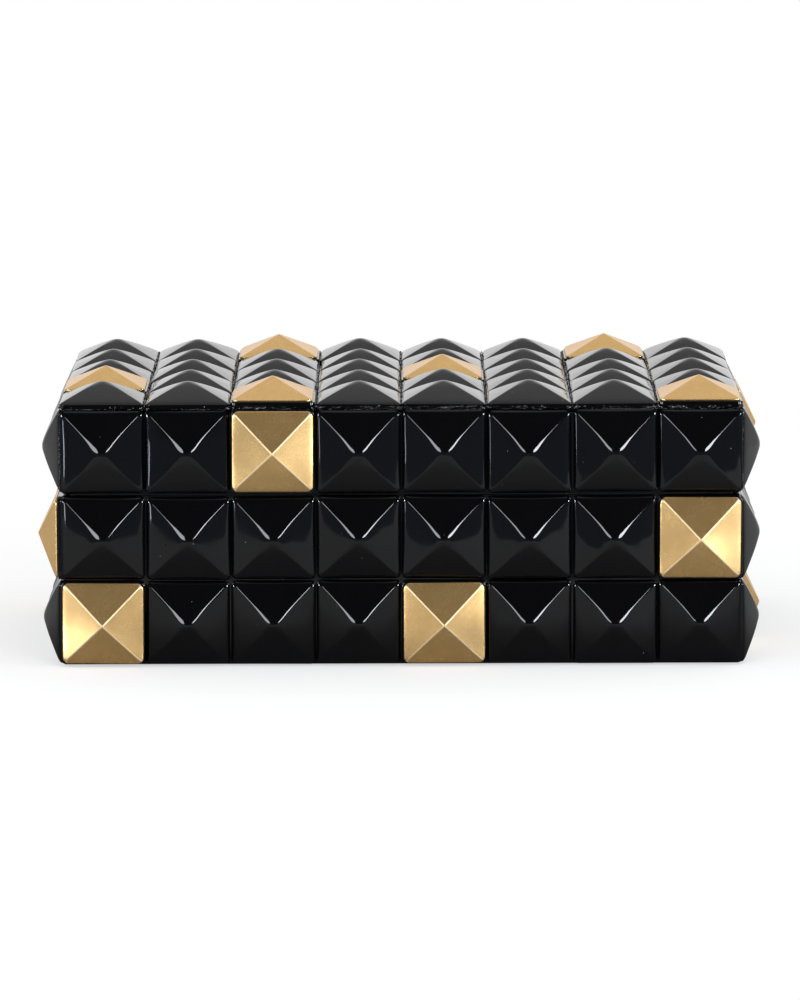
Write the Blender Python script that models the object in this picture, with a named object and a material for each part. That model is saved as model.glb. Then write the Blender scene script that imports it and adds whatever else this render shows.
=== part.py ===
"""Storage box: a hinged wooden chest clad all over in pyramid studs, black with a few in satin gold.

Metres, +Z up. The origin is under the middle of the box, on the surface that it stands on.
The viewer stands at -Y, so +X is the viewer's right. All studs sit on one square grid.
The lid is the top and the first row of studs, and it turns back on two butt hinges."""

import math

import bmesh
import bpy
from mathutils import Matrix, Vector

MM = 0.001

# The grid of studs
PITCH = 36.0 * MM  # from one stud's middle to the next
COLUMNS = 8  # studs across the front
DEPTH_ROWS = 5  # studs from front to back
LID_ROWS = 1  # rows of studs round the lid
BASE_ROWS = 2  # rows of studs round the base
LID_SEAM = 0.8 * MM  # extra room between the lid's studs and the base's
PANEL_LIFT = 0.8 * MM  # the lowest studs stand this far clear of the table

# A black stud: a straight skirt, four slopes and a blunt tip
STUD_GAP = 0.7 * MM  # the groove between two black studs
BLACK_CORNER = 2.2 * MM
BLACK_RISE = 8.1 * MM  # from the skirt to the point that the slopes aim at
BLACK_TIP = 1.2 * MM  # side of the blunt tip
WALL_SKIRT = 0.4 * MM  # skirt above the grid's plane, round the walls
TOP_SKIRT = 2.4 * MM  # the same on the top, whose studs stand prouder
GROOVE_DEPTH = 1.6 * MM  # from the grid's plane down to the ground between studs

# A gold stud: a pressed sheet cap, glued on a flat black pad
GOLD_MARGIN = 0.55 * MM  # black pad that shows along each side of a gold stud
GOLD_CORNER = 2.8 * MM
GOLD_RISE = 8.1 * MM
GOLD_TIP = 0.3 * MM
GOLD_SKIRT = 0.8 * MM
GOLD_SHEET = 0.8 * MM
PAD_RISE = 0.4 * MM  # the pad's top above a black stud's skirt

CORNER_STEPS = 1  # facets in a stud's rounded corner
ROUND_STEPS = 12  # facets round a hinge barrel, pin or screw
FOOT_STEPS = 24

# The carcass under the studs
PANEL_THICKNESS = 4.0 * MM  # from the grid's plane to the back of a stud panel
WALL_THICKNESS = 9.0 * MM
BOARD_THICKNESS = 6.0 * MM  # top and bottom boards
LINING_THICKNESS = 1.2 * MM
LINING_SETBACK = 1.0 * MM  # from a wooden rim to the lining's edge
SEAT_GAP = 0.3 * MM  # the glue line, or the air, between two pieces that meet

# Felt pads under the bottom board
FOOT_THICKNESS = 1.5 * MM
FOOT_RADIUS = 8.0 * MM
FOOT_INSET = 4.0 * MM  # from the bottom board's edges to a pad's rim

# The hinges
HINGE_COLUMN = 2  # the column of studs, from either end, that a hinge lies behind
KNUCKLES = 5
KNUCKLE_GAP = 0.3 * MM
BARREL_RADIUS = 2.2 * MM
BARREL_OUTSET = 1.0 * MM  # the axis lies this far outside the grid's plane
PIN_RADIUS = 0.95 * MM
PIN_CLEARANCE = 0.1 * MM
PIN_HEAD_RADIUS = 1.6 * MM
PIN_HEAD_THICKNESS = 0.6 * MM
LEAF_THICKNESS = 1.2 * MM
LEAF_LIP = 1.5 * MM  # wood left between a leaf's mortise and the inside
LEAF_CLEARANCE = 0.4 * MM  # from a leaf to the barrel that it doesn't join
NOTCH_CLEARANCE = 0.5 * MM  # from the barrel to the notch in the stud panels
STOP_ANGLE = math.radians(100)  # where the two heels meet
HEEL_REACH = 2.1 * MM
HEEL_THICKNESS = 1.0 * MM
HEEL_GAP = 0.1 * MM  # between the heels at the stop
JOIN_INSET = 0.05 * MM  # a bar that merges into a thicker piece stops this far inside its faces

# The hinge screws
SCREW_SPACING = 16.0 * MM
SCREW_LENGTH = 7.5 * MM
SCREW_RADIUS = 0.85 * MM
SCREW_HEAD_RADIUS = 1.85 * MM
SCREW_TIP = 1.5 * MM  # length of the point
SCREW_TIP_SHARE = 0.25  # the point's blunt end, as a share of the shank
SCREW_CLEARANCE = 0.15 * MM
SLOT_WIDTH = 0.5 * MM
SLOT_DEPTH = 0.45 * MM

OVERRUN = 2.0 * MM  # how far a cutter runs past what it cuts

# Gold studs, as (column, row). Columns run left to right as seen from outside. Rows run down
# from the lid on the walls, and back from the front edge on the top.
GOLD = {
    "top": [(3, 1), (8, 1), (1, 2), (5, 3), (3, 5), (7, 5)],
    "front": [(3, 1), (8, 2), (1, 3), (5, 3)],
    "back": [(4, 1), (8, 2), (2, 3), (6, 3)],
    "left": [(5, 2), (1, 3)],
    "right": [(3, 1), (2, 3)],
}

# Each face's rightward and upward directions, as seen from outside
FACES = {
    "top": (Vector((1, 0, 0)), Vector((0, 1, 0))),
    "front": (Vector((1, 0, 0)), Vector((0, 0, 1))),
    "back": (Vector((-1, 0, 0)), Vector((0, 0, 1))),
    "left": (Vector((0, -1, 0)), Vector((0, 0, 1))),
    "right": (Vector((0, 1, 0)), Vector((0, 0, 1))),
}

# What follows from the sizes above
BLACK_SIDE = PITCH - STUD_GAP
GOLD_SIDE = BLACK_SIDE - 2 * GOLD_MARGIN
WIDTH = COLUMNS * PITCH
DEPTH = DEPTH_ROWS * PITCH
BASE_LOW = PANEL_LIFT
BASE_HIGH = BASE_LOW + BASE_ROWS * PITCH
LID_LOW = BASE_HIGH + LID_SEAM
LID_HIGH = LID_LOW + LID_ROWS * PITCH
SEAM_MIDDLE = (BASE_HIGH + LID_LOW) / 2
BASE_RIM = SEAM_MIDDLE - SEAT_GAP / 2
LID_RIM = SEAM_MIDDLE + SEAT_GAP / 2
SHELL_X = WIDTH / 2 - PANEL_THICKNESS - SEAT_GAP  # the carcass's outer faces
SHELL_Y = DEPTH / 2 - PANEL_THICKNESS - SEAT_GAP
ROOM_X = SHELL_X - WALL_THICKNESS  # the walls' inner faces
ROOM_Y = SHELL_Y - WALL_THICKNESS
CARCASS_LOW = FOOT_THICKNESS + SEAT_GAP
FLOOR = CARCASS_LOW + BOARD_THICKNESS  # the bottom board's upper face
CEILING_HIGH = LID_HIGH - PANEL_THICKNESS - SEAT_GAP
CEILING = CEILING_HIGH - BOARD_THICKNESS  # the top board's lower face
AXIS = Vector((0, DEPTH / 2 + BARREL_OUTSET, SEAM_MIDDLE))
HINGE_X = WIDTH / 2 - HINGE_COLUMN * PITCH + PITCH / 2
NOTCH_LENGTH = PITCH  # the notch for a barrel ends in the grooves beside one stud
HINGE_LENGTH = NOTCH_LENGTH - 2 * (KNUCKLE_GAP + PIN_HEAD_THICKNESS + NOTCH_CLEARANCE)
LEAF_INNER = ROOM_Y + LEAF_LIP
SCREW_Y = (LEAF_INNER + SHELL_Y) / 2
MORTISE_DEPTH = LEAF_THICKNESS + SEAT_GAP


def clear_scene():
    for thing in list(bpy.data.objects):
        bpy.data.objects.remove(thing)


def finish(name, colour, roughness, metallic=0.0):
    """A plain Principled material."""
    material = bpy.data.materials.new(name)
    material.use_nodes = True
    shader = material.node_tree.nodes["Principled BSDF"]
    shader.inputs["Base Color"].default_value = (*colour, 1.0)
    shader.inputs["Roughness"].default_value = roughness
    shader.inputs["Metallic"].default_value = metallic
    return material


def add_object(name, bm, material=None):
    """An object made of the bmesh, with its faces turned outwards."""
    bmesh.ops.recalc_face_normals(bm, faces=bm.faces)
    mesh = bpy.data.meshes.new(name)
    bm.to_mesh(mesh)
    bm.free()
    thing = bpy.data.objects.new(name, mesh)
    bpy.context.scene.collection.objects.link(thing)
    if material:
        mesh.materials.append(material)
    return thing


def add_loft(bm, rings):
    """Skins a stack of rings that have equally many points, and caps both ends."""
    rows = [[bm.verts.new(point) for point in ring] for ring in rings]
    count = len(rows[0])
    for lower, upper in zip(rows, rows[1:]):
        for i in range(count):
            j = (i + 1) % count
            bm.faces.new((lower[i], lower[j], upper[j], upper[i]))
    bm.faces.new(reversed(rows[0]))
    bm.faces.new(rows[-1])


def add_block(bm, low, high):
    """A box between two corners."""
    rings = []
    for z in (low[2], high[2]):
        rings.append([(low[0], low[1], z), (high[0], low[1], z), (high[0], high[1], z), (low[0], high[1], z)])
    add_loft(bm, rings)


def block(name, low, high, material=None):
    bm = bmesh.new()
    add_block(bm, low, high)
    return add_object(name, bm, material)


def circle(radius, steps, height):
    """A ring of points round Z at that height."""
    turns = [2 * math.pi * i / steps for i in range(steps)]
    return [Vector((radius * math.cos(a), radius * math.sin(a), height)) for a in turns]


def turned(name, profile, steps, placing, material=None):
    """A round solid from (radius, height) pairs along its own Z, put in place by a matrix."""
    bm = bmesh.new()
    add_loft(bm, [circle(radius, steps, height) for radius, height in profile])
    bm.transform(placing)
    return add_object(name, bm, material)


def combine(target, other, operation):
    """Joins or cuts target with other for good, and removes other."""
    modifier = target.modifiers.new(operation, "BOOLEAN")
    modifier.operation = operation
    modifier.solver = "EXACT"
    modifier.object = other
    bpy.context.view_layer.update()
    graph = bpy.context.evaluated_depsgraph_get()
    old = target.data
    target.data = bpy.data.meshes.new_from_object(target.evaluated_get(graph))
    target.data.name = target.name
    target.modifiers.clear()
    bpy.data.meshes.remove(old)
    bpy.data.objects.remove(other)
    return target


def hang_on(parent, things):
    """Parents things to an empty without moving them."""
    bpy.context.view_layer.update()
    for thing in things:
        thing.parent = parent
        thing.matrix_parent_inverse = parent.matrix_world.inverted()


def rounded_square(side, radius, height, centre=(0, 0)):
    """A ring round a square with rounded corners, anticlockwise from the right-hand side."""
    radius = min(radius, side / 2)
    reach = side / 2 - radius
    ring = []
    for quarter in range(4):
        start = quarter * math.pi / 2
        corner = Matrix.Rotation(start, 2) @ Vector((reach, reach))
        for step in range(CORNER_STEPS + 1):
            angle = start + step * math.pi / 2 / CORNER_STEPS
            arc = radius * Vector((math.cos(angle), math.sin(angle)))
            ring.append(Vector((centre[0] + corner.x + arc.x, centre[1] + corner.y + arc.y, height)))
    return ring


def pyramid_rings(side, corner, low, skirt, rise, tip, centre=(0, 0)):
    """The rings of a stud: its foot, the top of its skirt, and its blunt tip."""
    tip_share = tip / side
    return [
        rounded_square(side, corner, low, centre),
        rounded_square(side, corner, skirt, centre),
        rounded_square(tip, corner * tip_share, skirt + rise * (1 - tip_share), centre),
    ]


def face_placing(face, middle_height=0.0):
    """The matrix that stands a face's own frame on the grid's plane: right, up and outwards."""
    right, up = FACES[face]
    out = right.cross(up)
    spot = Vector((out.x * WIDTH / 2, out.y * DEPTH / 2, LID_HIGH if face == "top" else middle_height))
    return Matrix.Translation(spot) @ Matrix((right, up, out)).transposed().to_4x4()


def grid_spot(column, row, columns, rows):
    """The middle of a stud in its panel's own frame. Row 1 is the highest here."""
    return ((column - (columns + 1) / 2) * PITCH, ((rows + 1) / 2 - row) * PITCH)


def envelope(half_width, half_height, mitred):
    """The space that a stud panel may fill: its mitred edges lean in at 45 degrees behind the grid's plane."""
    back, front = -PANEL_THICKNESS, WALL_SKIRT + TOP_SKIRT + BLACK_RISE + OVERRUN
    gap = SEAT_GAP / math.sqrt(2)
    rings = []
    for level in (back, front):
        lean = {side: level - gap if side in mitred else 0.0 for side in ("left", "right", "top", "bottom")}
        left, right = -half_width - lean["left"], half_width + lean["right"]
        bottom, top = -half_height - lean["bottom"], half_height + lean["top"]
        rings.append([(left, bottom, level), (right, bottom, level), (right, top, level), (left, top, level)])
    bm = bmesh.new()
    add_loft(bm, rings)
    return add_object("envelope", bm)


def stud_panel(name, face, columns, rows, skirt, mitred, gold, middle_height, material):
    """One slab of black studs with a flat pad at each gold place, placed on its face."""
    half_width, half_height = columns * PITCH / 2, rows * PITCH / 2
    bm = bmesh.new()
    low = (-half_width - OVERRUN, -half_height - OVERRUN, -PANEL_THICKNESS - OVERRUN)
    add_block(bm, low, (half_width + OVERRUN, half_height + OVERRUN, -GROOVE_DEPTH))
    panel = add_object(name, bm, material)
    root = -(GROOVE_DEPTH + PANEL_THICKNESS) / 2
    bm = bmesh.new()
    for column in range(1, columns + 1):
        for row in range(1, rows + 1):
            rings = pyramid_rings(
                BLACK_SIDE, BLACK_CORNER, root, skirt, BLACK_RISE, BLACK_TIP, grid_spot(column, row, columns, rows)
            )
            if (column, row) in gold:
                pad = rounded_square(
                    BLACK_SIDE, BLACK_CORNER, skirt + PAD_RISE, grid_spot(column, row, columns, rows)
                )
                rings = [rings[0], pad]
            add_loft(bm, rings)
    combine(panel, add_object("studs", bm), "UNION")
    combine(panel, envelope(half_width, half_height, mitred), "INTERSECT")
    panel.matrix_world = face_placing(face, middle_height)
    return panel


def gold_stud(name, face, spot, skirt, middle_height, material):
    """A hollow pressed cap, glued on its pad."""
    seat = skirt + PAD_RISE + SEAT_GAP
    slope = math.atan2(GOLD_RISE, GOLD_SIDE / 2)
    inner_side = GOLD_SIDE - 2 * GOLD_SHEET
    inner_skirt = seat + GOLD_SKIRT - GOLD_SHEET * (1 - math.sin(slope)) / math.cos(slope)
    inner_rise = inner_side / 2 * math.tan(slope)
    outer = pyramid_rings(GOLD_SIDE, GOLD_CORNER, seat, seat + GOLD_SKIRT, GOLD_RISE, GOLD_TIP)
    inner = pyramid_rings(inner_side, GOLD_CORNER - GOLD_SHEET, seat, inner_skirt, inner_rise, GOLD_TIP)
    bm = bmesh.new()
    add_loft(bm, [*reversed(inner), *outer])
    cap = add_object(name, bm, material)
    cap.matrix_world = face_placing(face, middle_height) @ Matrix.Translation((*spot, 0))
    return cap


def clad(half, face, columns, rows, first_row, middle_height, skirt, mitred, finishes):
    """One face of the lid or the base: its panel of black studs and its gold ones."""
    gold = [(c, r - first_row + 1) for c, r in GOLD[face] if first_row <= r < first_row + rows]
    if face == "top":  # the top's rows run back from the front edge, and a panel's run down
        gold = [(c, rows + 1 - r) for c, r in gold]
    name = f"{half}_{face}_panel"
    made = [stud_panel(name, face, columns, rows, skirt, mitred, gold, middle_height, finishes["lacquer"])]
    for column, row in gold:
        spot = grid_spot(column, row, columns, rows)
        shown_row = rows + 1 - row if face == "top" else row + first_row - 1
        label = f"gold_stud_{face}_{column}_{shown_row}"
        made.append(gold_stud(label, face, spot, skirt, middle_height, finishes["gold"]))
    return made


def ring_of_walls(half, low, high, material):
    """Four wooden walls. Front and back run the whole width, and the ends fit between them."""
    inside = ROOM_Y - SEAT_GAP
    spans = {
        "front": ((-SHELL_X, -SHELL_Y), (SHELL_X, -ROOM_Y)),
        "back": ((-SHELL_X, ROOM_Y), (SHELL_X, SHELL_Y)),
        "left": ((-SHELL_X, -inside), (-ROOM_X, inside)),
        "right": ((ROOM_X, -inside), (SHELL_X, inside)),
    }
    return {
        side: block(f"{half}_{side}_wall", (*near, low), (*far, high), material)
        for side, (near, far) in spans.items()
    }


def lining(name, low, high, open_low, open_high, material):
    """A velvet-covered liner that fits inside the walls, open on one side."""
    outer_x, outer_y = ROOM_X - SEAT_GAP, ROOM_Y - SEAT_GAP
    inner_x, inner_y = outer_x - LINING_THICKNESS, outer_y - LINING_THICKNESS
    liner = block(name, (-outer_x, -outer_y, low), (outer_x, outer_y, high), material)
    hollow = block("hollow", (-inner_x, -inner_y, open_low), (inner_x, inner_y, open_high))
    return combine(liner, hollow, "DIFFERENCE")


def screw_profile(extra):
    """A countersunk screw from its tip to its head's face, fattened by extra to make the hole for it."""
    cone = SCREW_HEAD_RADIUS - SCREW_RADIUS
    profile = [
        (SCREW_RADIUS * SCREW_TIP_SHARE + extra, -SCREW_LENGTH - extra),
        (SCREW_RADIUS + extra, -SCREW_LENGTH + SCREW_TIP),
        (SCREW_RADIUS + extra, -cone),
        (SCREW_HEAD_RADIUS + extra, 0),
    ]
    if extra:
        profile.append((SCREW_HEAD_RADIUS + extra, OVERRUN))
    return profile


def screw_placing(hinge_x, side, facing):
    """Stands a screw's head flush with its leaf's open face. Facing is 1 for the base and -1 for the lid."""
    rim = BASE_RIM if facing > 0 else LID_RIM
    turn = Matrix.Rotation(0 if facing > 0 else math.pi, 4, "X")
    return Matrix.Translation((hinge_x + side * SCREW_SPACING / 2, SCREW_Y, rim)) @ turn


def add_screw(name, placing, material):
    screw = turned(name, screw_profile(0), ROUND_STEPS, placing, material)
    reach = SCREW_HEAD_RADIUS + OVERRUN
    slot = block("slot", (-reach, -SLOT_WIDTH / 2, -SLOT_DEPTH), (reach, SLOT_WIDTH / 2, OVERRUN))
    slot.matrix_world = placing
    return combine(screw, slot, "DIFFERENCE")


def cut_mortise(wall, hinge_x, facing):
    """Lets a leaf into a wall's rim, and drills for its screws."""
    half = HINGE_LENGTH / 2 + SEAT_GAP
    rim = BASE_RIM if facing > 0 else LID_RIM
    floor, mouth = sorted((rim - facing * MORTISE_DEPTH, rim + facing * OVERRUN))
    low = (hinge_x - half, LEAF_INNER - SEAT_GAP, floor)
    combine(wall, block("mortise", low, (hinge_x + half, SHELL_Y + OVERRUN, mouth)), "DIFFERENCE")
    for side in (-1, 1):
        placing = screw_placing(hinge_x, side, facing)
        combine(wall, turned("drill", screw_profile(SCREW_CLEARANCE), ROUND_STEPS, placing), "DIFFERENCE")


def cut_notch(panel, hinge_x):
    """Opens a stud panel's edge where a hinge barrel shows."""
    tall = BARREL_RADIUS + NOTCH_CLEARANCE
    low = (hinge_x - NOTCH_LENGTH / 2, SHELL_Y - OVERRUN, SEAM_MIDDLE - tall)
    high = (hinge_x + NOTCH_LENGTH / 2, AXIS.y + BARREL_RADIUS + HEEL_REACH + OVERRUN, SEAM_MIDDLE + tall)
    combine(panel, block("notch", low, high), "DIFFERENCE")


def along_x(start, end, radius, hinge_x):
    """A cylinder on the hinge axis, between two places measured from the hinge's middle."""
    lie_down = Matrix.Rotation(math.pi / 2, 4, "Y")
    placing = Matrix.Translation(AXIS + Vector((hinge_x, 0, 0))) @ lie_down
    return turned("barrel", [(radius, start), (radius, end)], ROUND_STEPS, placing)


def radial_bar(start, end, inner, outer, inset, facing, hinge_x):
    """A bar that stands out from the axis at half the stop angle: below for the base, above for the lid."""
    near = HEEL_GAP / 2 + inset
    far = HEEL_GAP / 2 + HEEL_THICKNESS - inset
    low, high = sorted((-facing * near, -facing * far))
    bar = block("bar", (start + inset, inner, low), (end - inset, outer, high))
    lean = Matrix.Rotation(-facing * STOP_ANGLE / 2, 4, "X")
    bar.matrix_world = Matrix.Translation(AXIS + Vector((hinge_x, 0, 0))) @ lean
    return bar


def hinge_leaf(name, hinge_x, facing, material):
    """A leaf with its knuckles and its stop heel. The base has the odd knuckles, the lid the others."""
    rim = BASE_RIM if facing > 0 else LID_RIM
    low, high = sorted((rim, rim - facing * LEAF_THICKNESS))
    half = HINGE_LENGTH / 2
    free_edge = AXIS.y - BARREL_RADIUS - LEAF_CLEARANCE
    leaf = block(name, (hinge_x - half, LEAF_INNER, low), (hinge_x + half, free_edge, high), material)
    heel_inner = BARREL_RADIUS + LEAF_CLEARANCE
    heel_outer = heel_inner + HEEL_REACH
    combine(leaf, radial_bar(-half, half, heel_inner, heel_outer, 0, facing, hinge_x), "UNION")
    step = HINGE_LENGTH / KNUCKLES
    for index in range(0 if facing > 0 else 1, KNUCKLES, 2):
        start = -half + index * step + KNUCKLE_GAP / 2
        end = start + step - KNUCKLE_GAP
        combine(leaf, along_x(start, end, BARREL_RADIUS, hinge_x), "UNION")
        tongue_low = (hinge_x + start + JOIN_INSET, free_edge - BARREL_RADIUS, low + JOIN_INSET)
        tongue_high = (hinge_x + end - JOIN_INSET, AXIS.y, high - JOIN_INSET)
        combine(leaf, block("tongue", tongue_low, tongue_high), "UNION")
        inner, outer = (PIN_RADIUS + BARREL_RADIUS) / 2, (heel_inner + heel_outer) / 2
        combine(leaf, radial_bar(start, end, inner, outer, JOIN_INSET, facing, hinge_x), "UNION")
    bore = along_x(-half - OVERRUN, half + OVERRUN, PIN_RADIUS + PIN_CLEARANCE, hinge_x)
    combine(leaf, bore, "DIFFERENCE")
    for side in (-1, 1):
        placing = screw_placing(hinge_x, side, facing)
        combine(leaf, turned("sink", screw_profile(SCREW_CLEARANCE), ROUND_STEPS, placing), "DIFFERENCE")
    return leaf


def hinge_pin(name, hinge_x, material):
    """The pin, with a peened head past each end of the barrel."""
    reach = HINGE_LENGTH / 2 + KNUCKLE_GAP
    tip = reach + PIN_HEAD_THICKNESS
    profile = [
        (PIN_HEAD_RADIUS, -tip),
        (PIN_HEAD_RADIUS, -reach),
        (PIN_RADIUS, -reach),
        (PIN_RADIUS, reach),
        (PIN_HEAD_RADIUS, reach),
        (PIN_HEAD_RADIUS, tip),
    ]
    placing = Matrix.Translation(AXIS + Vector((hinge_x, 0, 0))) @ Matrix.Rotation(math.pi / 2, 4, "Y")
    return turned(name, profile, ROUND_STEPS, placing, material)


def build_base(finishes):
    middle = (BASE_LOW + BASE_HIGH) / 2
    walls = ring_of_walls("base", CARCASS_LOW, BASE_RIM, finishes["wood"])
    panels = {}
    for face, columns in (("front", COLUMNS), ("back", COLUMNS), ("left", DEPTH_ROWS), ("right", DEPTH_ROWS)):
        pieces = clad(
            "base", face, columns, BASE_ROWS, LID_ROWS + 1, middle, WALL_SKIRT, ("left", "right"), finishes
        )
        panels[face] = pieces[0]
    inside_x, inside_y = ROOM_X - SEAT_GAP, ROOM_Y - SEAT_GAP
    block("base_bottom_board", (-inside_x, -inside_y, CARCASS_LOW), (inside_x, inside_y, FLOOR), finishes["wood"])
    lining_low = FLOOR + SEAT_GAP
    rim = BASE_RIM - LINING_SETBACK
    lining("base_lining", lining_low, rim, lining_low + LINING_THICKNESS, rim + OVERRUN, finishes["velvet"])
    foot_x, foot_y = inside_x - FOOT_INSET - FOOT_RADIUS, inside_y - FOOT_INSET - FOOT_RADIUS
    for depth_name, y in (("front", -foot_y), ("back", foot_y)):
        for side_name, x in (("left", -foot_x), ("right", foot_x)):
            name = f"foot_pad_{depth_name}_{side_name}"
            pad = turned(
                name, [(FOOT_RADIUS, 0), (FOOT_RADIUS, FOOT_THICKNESS)], FOOT_STEPS, Matrix(), finishes["felt"]
            )
            pad.location = (x, y, 0)
    return walls["back"], panels["back"]


def build_lid(finishes):
    middle = (LID_LOW + LID_HIGH) / 2
    walls = ring_of_walls("lid", LID_RIM, CEILING - SEAT_GAP, finishes["wood"])
    pieces = list(walls.values())
    panels = {}
    for face, columns in (("front", COLUMNS), ("back", COLUMNS), ("left", DEPTH_ROWS), ("right", DEPTH_ROWS)):
        made = clad("lid", face, columns, LID_ROWS, 1, middle, WALL_SKIRT, ("left", "right", "top"), finishes)
        panels[face] = made[0]
        pieces += made
    every_edge = ("left", "right", "top", "bottom")
    pieces += clad("lid", "top", COLUMNS, DEPTH_ROWS, 1, LID_HIGH, TOP_SKIRT, every_edge, finishes)
    low, high = (-SHELL_X, -SHELL_Y, CEILING), (SHELL_X, SHELL_Y, CEILING_HIGH)
    pieces.append(block("lid_top_board", low, high, finishes["wood"]))
    rim, top = LID_RIM + LINING_SETBACK, CEILING - SEAT_GAP
    pieces.append(lining("lid_lining", rim, top, rim - OVERRUN, top - LINING_THICKNESS, finishes["velvet"]))
    return walls["back"], panels["back"], pieces


def build_hinges(base_wall, base_panel, lid_wall, lid_panel, finishes):
    """Fits both hinges, and returns the pieces that turn with the lid."""
    turning = []
    for label, hinge_x in (("left", -HINGE_X), ("right", HINGE_X)):
        for panel in (base_panel, lid_panel):
            cut_notch(panel, hinge_x)
        hinge_pin(f"hinge_pin_{label}", hinge_x, finishes["steel"])
        for half, wall, facing in (("base", base_wall, 1), ("lid", lid_wall, -1)):
            cut_mortise(wall, hinge_x, facing)
            fitted = [hinge_leaf(f"hinge_{half}_leaf_{label}", hinge_x, facing, finishes["brass"])]
            for number, side in ((1, -1), (2, 1)):
                placing = screw_placing(hinge_x, side, facing)
                fitted.append(add_screw(f"{half}_screw_{label}_{number}", placing, finishes["brass"]))
            if facing < 0:
                turning += fitted
    return turning


def main():
    clear_scene()
    finishes = {
        "lacquer": finish("black_lacquer", (0.008, 0.008, 0.009), 0.12),
        "gold": finish("satin_gold", (0.70, 0.50, 0.24), 0.35, 1.0),
        "wood": finish("black_stained_wood", (0.02, 0.019, 0.018), 0.6),
        "velvet": finish("black_velvet", (0.012, 0.012, 0.013), 0.95),
        "felt": finish("grey_felt", (0.06, 0.06, 0.06), 0.95),
        "brass": finish("brass", (0.66, 0.47, 0.22), 0.3, 1.0),
        "steel": finish("steel", (0.55, 0.55, 0.54), 0.3, 1.0),
    }
    base_wall, base_panel = build_base(finishes)
    lid_wall, lid_panel, lid_pieces = build_lid(finishes)
    turning = build_hinges(base_wall, base_panel, lid_wall, lid_panel, finishes)
    lid_axis = bpy.data.objects.new("lid_axis", None)
    bpy.context.scene.collection.objects.link(lid_axis)
    lid_axis.location = AXIS
    hang_on(lid_axis, lid_pieces + turning)


main()
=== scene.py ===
"""Looks of the storage box: a hinged chest clad in black pyramid studs, with a few of satin gold.

Each face of studs is one lacquered skin, and each gold stud is a pressed cap. Both are surfaces of
two parameters: a place round the stud, and a level from its foot to its tip. The boards, walls and
hinges keep the shapes of the solids, with their edges eased. Metres, +Z up, the front faces -Y."""

import math

import bmesh
import bpy
import numpy as np
from mathutils import Matrix, Vector


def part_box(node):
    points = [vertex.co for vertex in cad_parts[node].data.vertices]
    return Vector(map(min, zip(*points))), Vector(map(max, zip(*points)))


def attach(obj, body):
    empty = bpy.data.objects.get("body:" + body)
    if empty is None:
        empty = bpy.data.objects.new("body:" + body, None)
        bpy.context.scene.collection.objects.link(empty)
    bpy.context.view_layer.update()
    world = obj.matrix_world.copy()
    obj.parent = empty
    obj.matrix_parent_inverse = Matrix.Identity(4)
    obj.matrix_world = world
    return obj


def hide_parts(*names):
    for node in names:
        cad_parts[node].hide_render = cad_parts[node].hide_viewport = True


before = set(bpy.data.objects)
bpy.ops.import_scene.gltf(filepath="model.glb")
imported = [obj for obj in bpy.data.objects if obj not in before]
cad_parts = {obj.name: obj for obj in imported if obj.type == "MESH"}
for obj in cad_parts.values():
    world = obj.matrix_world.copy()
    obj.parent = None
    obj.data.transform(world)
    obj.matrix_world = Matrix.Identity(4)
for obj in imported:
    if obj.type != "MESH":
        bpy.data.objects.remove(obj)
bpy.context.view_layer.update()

MM = 0.001

# The grid of studs, read from the frame
COLUMNS, DEPTH_ROWS, BASE_ROWS = 8, 5, 2
FRONT_LOW, FRONT_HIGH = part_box("base_front_panel")
PITCH = (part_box("gold_stud_top_8_1")[0].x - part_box("gold_stud_top_3_1")[0].x) / (8 - 3)
HALF_WIDTH = COLUMNS * PITCH / 2
HALF_DEPTH = DEPTH_ROWS * PITCH / 2
BLACK_SIDE = FRONT_HIGH.x - FRONT_LOW.x - (COLUMNS - 1) * PITCH
THICKNESS = HALF_DEPTH + FRONT_HIGH.y  # from the grid's plane to a panel's back
WALL_TIP = -HALF_DEPTH - FRONT_LOW.y  # from the grid's plane to a black stud's tip
TOP_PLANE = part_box("lid_top_panel")[0].z + THICKNESS
TOP_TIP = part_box("lid_top_panel")[1].z - TOP_PLANE
SEAM = (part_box("base_front_panel")[1].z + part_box("lid_front_panel")[0].z) / 2

# The notches for the hinges in the back, at the places of the hinges' own solids
HINGE_X = (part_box("hinge_pin_right")[0].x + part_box("hinge_pin_right")[1].x) / 2
BARREL_RADIUS = 2.2 * MM
NOTCH_HALF = BARREL_RADIUS + 0.5 * MM
SEAM_ROWS = (1, 2)  # the lid's row of studs and the base's upper one

# Black studs
WALL_SKIRT = 0.4 * MM  # straight side above the grid's plane
GROOVE = 1.6 * MM  # from the grid's plane down to the ground
# Lacquer run out round a foot: millimetres out from the side and up from the ground
FOOT = [(0.34, -0.3), (0.34, 0.0), (0.24, 0.3), (0.10, 0.75), (0.0, 1.3)]
BLACK_CORNER = 2.3 * MM
BLACK_SPREAD = 1.4 * MM  # over what distance from the rim a round corner narrows to a ridge
BLACK_RIDGE = 0.3 * MM  # radius of a ridge, seen from above
BLACK_RIDGE_SWELL = 14.0 * MM  # how much wider a ridge gets at the tip
RIDGE_FADE = 2.2 * MM  # over what distance from the tip, for gold studs too
BLACK_TIP = 2.6 * MM
BLACK_WORN = 0.20 * MM  # what rounding takes off the tip
BLACK_DROP = 0.40 * MM  # how far the slopes sag at the rim
BLACK_SAG = 0.65 * MM  # how far in from the rim they start to
BLACK_EDGE = 0.35 * MM  # radius where a slope turns down into the straight side
BLACK_PILLOW = math.radians(4.0)  # how far each slope is rounded from ridge to ridge, at both ends
TOP_GROOVE = -0.6 * MM  # on the top, the glue between the studs stands above the plane
TOP_SIDE_EXTRA = 0.25 * MM  # and the studs are set closer
PAD_RISE = 0.4 * MM
PAD_ARC = 0.35 * MM  # radius of a pad's upper edge
MITRE_GAP = 0.21 * MM  # how far a panel's edges stay clear of its neighbours' at the corners

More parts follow.
